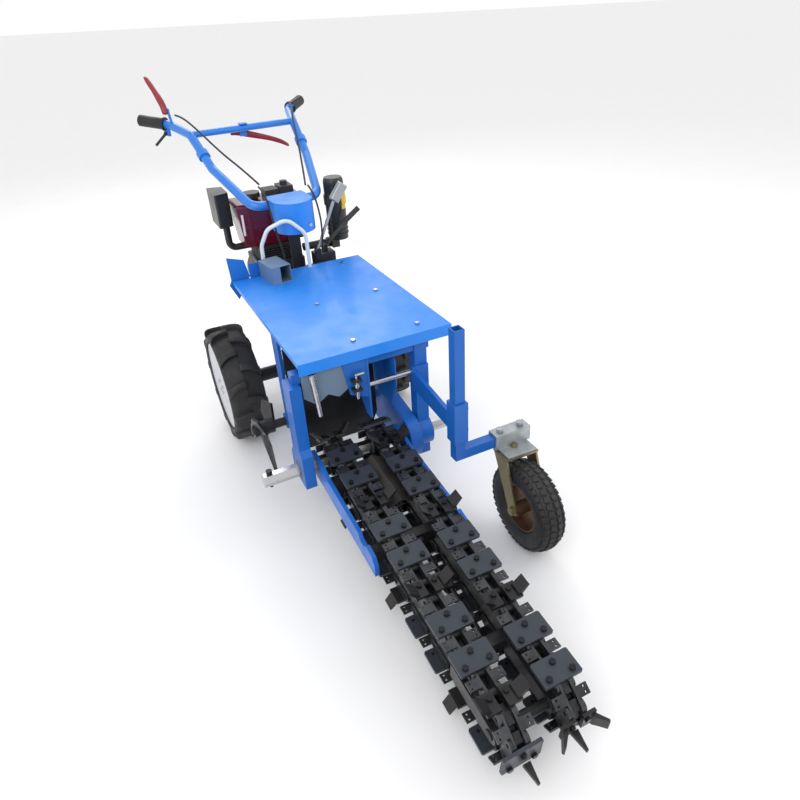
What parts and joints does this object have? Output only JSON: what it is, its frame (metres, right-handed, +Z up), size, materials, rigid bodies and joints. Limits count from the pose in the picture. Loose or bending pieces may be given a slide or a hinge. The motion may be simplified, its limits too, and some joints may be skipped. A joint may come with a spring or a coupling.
{
  "type": "walking trencher",
  "caption": "Two-wheel walking trencher with handlebar, engine, cover plate, side gauge wheel and a boom that carries two digging chains.",
  "frame": {"origin": "on the ground under the middle of the whole machine's footprint", "axes": "-Y towards the tip of the digging boom, +Y towards the handlebar, +Z up, X across the machine"},
  "size_m": [0.754, 2.45, 1.1948],
  "materials": {
    "cover_blue": "gloss",
    "frame_blue": "gloss",
    "black_steel": "satin",
    "chain_steel": "satin",
    "bright_steel": "polished",
    "zinc": "zinc plated",
    "rubber": "matt",
    "tank_red": "gloss",
    "lever_red": "gloss",
    "grip_black": "matt",
    "black_plastic": "satin",
    "engine_alloy": "cast",
    "disc_grey": "satin"
  },
  "bodies": {
    "chassis": {"cover_plate": "cover_blue", "frame_bolts": "bright_steel", "main_frame": "frame_blue", "guard_sheets": "frame_blue", "frame_rods": "bright_steel", "control_box": "frame_blue", "axle_tubes": "black_steel", "gearbox": "black_steel", "chain_case": "frame_blue", "chain_case_cover": "frame_blue", "gauge_bracket": "frame_blue", "engine": "engine_alloy", "fuel_tank": "tank_red", "muffler": "black_plastic", "air_filter": "black_plastic", "recoil_starter": "black_plastic", "handle_column": "black_steel", "cowl": "cover_blue", "guard_hoop": "bright_steel", "lever_brackets": "black_steel", "gearbox_cables": "grip_black"},
    "left_wheel": {"left_tyre": "rubber", "left_rim": "disc_grey"},
    "right_wheel": {"right_tyre": "rubber", "right_rim": "disc_grey"},
    "drive_shaft": {"hex_shaft": "bright_steel", "hex_pin": "black_steel", "shaft_bearings": "chain_steel", "drive_sprockets": "chain_steel"},
    "auger": {"auger_shaft": "black_steel", "spoil_auger": "black_steel"},
    "pto": {"pto_shaft": "chain_steel"},
    "boom": {"boom_frame": "frame_blue", "boom_cover": "chain_steel", "tension_screw": "chain_steel", "chain_side_bars": "chain_steel", "chain_rollers": "chain_steel", "chain_pins": "chain_steel", "flight_plates": "chain_steel", "cutters": "chain_steel", "plate_bolts": "chain_steel"},
    "nose": {"nose_shaft": "chain_steel", "nose_idlers": "chain_steel"},
    "gauge_arm": {"gauge_post": "frame_blue", "caster_clamp": "bright_steel"},
    "caster": {"caster_fork": "zinc"},
    "gauge_wheel": {"gauge_rim": "zinc", "gauge_tyre": "rubber"},
    "handlebar": {"handlebar": "cover_blue", "grips": "grip_black", "handle_cables": "grip_black"},
    "left_lever": {"left_lever": "lever_red"},
    "cross_lever": {"cross_lever": "lever_red"},
    "squeeze_lever": {"squeeze_lever": "black_steel"},
    "throttle_lever": {"throttle_lever": "black_steel"},
    "gear_lever": {"gear_lever": "bright_steel"},
    "pto_lever": {"pto_lever": "black_steel"},
    "latch": {"latch_pin": "bright_steel"},
    "recoil": {"recoil_handle": "black_plastic"},
    "cap": {"fuel_cap": "black_plastic"}
  },
  "joints": [
    {"name": "left_wheel_spin", "type": "hinge", "parent": "chassis", "child": "left_wheel", "pos_m": [-0.2935, 0.44483, 0.215], "axis": [1, 0, 0], "continuous": true},
    {"name": "right_wheel_spin", "type": "hinge", "parent": "chassis", "child": "right_wheel", "pos_m": [0.3095, 0.44483, 0.215], "axis": [1, 0, 0], "continuous": true},
    {"name": "drive_spin", "type": "hinge", "parent": "chassis", "child": "drive_shaft", "pos_m": [0.008, -0.20017, 0.231], "axis": [1, 0, 0], "continuous": true},
    {"name": "auger_spin", "type": "hinge", "parent": "chassis", "child": "auger", "pos_m": [0.008, 0.01483, 0.26834], "axis": [1, 0, 0], "continuous": true},
    {"name": "pto_spin", "type": "hinge", "parent": "chassis", "child": "pto", "pos_m": [0.008, 0.36984, 0.33], "axis": [1, 0, 0], "continuous": true},
    {"name": "boom_pivot", "type": "hinge", "parent": "chassis", "child": "boom", "pos_m": [0.008, -0.20017, 0.231], "axis": [1, 0, 0], "range_deg": [-18, 45]},
    {"name": "nose_spin", "type": "hinge", "parent": "boom", "child": "nose", "pos_m": [0.008, -1.10869, 0.12749], "axis": [1, 0, 0], "continuous": true},
    {"name": "gauge_height", "type": "slide", "parent": "chassis", "child": "gauge_arm", "axis": [0, 0, 1], "range_m": [-0.1, 0.03]},
    {"name": "caster_swivel", "type": "hinge", "parent": "gauge_arm", "child": "caster", "pos_m": [0.288, -0.51316, 0.314], "axis": [0, 0, 1], "continuous": true},
    {"name": "gauge_wheel_spin", "type": "hinge", "parent": "caster", "child": "gauge_wheel", "pos_m": [0.288, -0.58817, 0.141], "axis": [1, 0, 0], "continuous": true},
    {"name": "handlebar_height", "type": "hinge", "parent": "chassis", "child": "handlebar", "pos_m": [0.038, 0.58983, 0.797], "axis": [0.9983, 0.0576, 0], "range_deg": [-5, 15]},
    {"name": "left_lever_pull", "type": "hinge", "parent": "handlebar", "child": "left_lever", "pos_m": [-0.24478, 1.06434, 1.075], "axis": [0.9983, 0.0576, 0], "range_deg": [-30, 0]},
    {"name": "cross_lever_pull", "type": "hinge", "parent": "handlebar", "child": "cross_lever", "pos_m": [0.0152, 0.98518, 0.98], "axis": [-0.0576, 0.9983, 0], "range_deg": [-12, 8]},
    {"name": "squeeze_lever_pull", "type": "hinge", "parent": "handlebar", "child": "squeeze_lever", "pos_m": [-0.25413, 1.10487, 0.993], "axis": [-0.0576, 0.9983, 0], "range_deg": [0, 14], "stiffness_Nm_per_rad": 0.8, "springref_deg": -17.19},
    {"name": "throttle_turn", "type": "hinge", "parent": "handlebar", "child": "throttle_lever", "pos_m": [0.2608, 1.10351, 1.047], "axis": [0, 0, 1], "range_deg": [-20, 60]},
    {"name": "gear_lever_shift", "type": "hinge", "parent": "chassis", "child": "gear_lever", "pos_m": [0.104, 0.50484, 0.623], "axis": [0, 1, 0], "range_deg": [-7, 10]},
    {"name": "pto_lever_shift", "type": "hinge", "parent": "chassis", "child": "pto_lever", "pos_m": [0.142, 0.53483, 0.623], "axis": [0, 1, 0], "range_deg": [-10, 12]},
    {"name": "latch_lift", "type": "slide", "parent": "chassis", "child": "latch", "axis": [0, 0, 1], "range_m": [0, 0.006]},
    {"name": "recoil_pull", "type": "slide", "parent": "chassis", "child": "recoil", "axis": [0, 1, 0], "range_m": [0, 0.12], "stiffness_N_per_m": 60, "springref_m": -0.05},
    {"name": "fuel_cap_lift", "type": "slide", "parent": "chassis", "child": "cap", "axis": [0, 0, 1], "range_m": [0, 0.06]}
  ],
  "couplings": [
    {"joint": "auger_spin", "follows": "drive_spin", "ratio": 1},
    {"joint": "pto_spin", "follows": "drive_spin", "ratio": 1.8},
    {"joint": "nose_spin", "follows": "drive_spin", "ratio": 1}
  ]
}
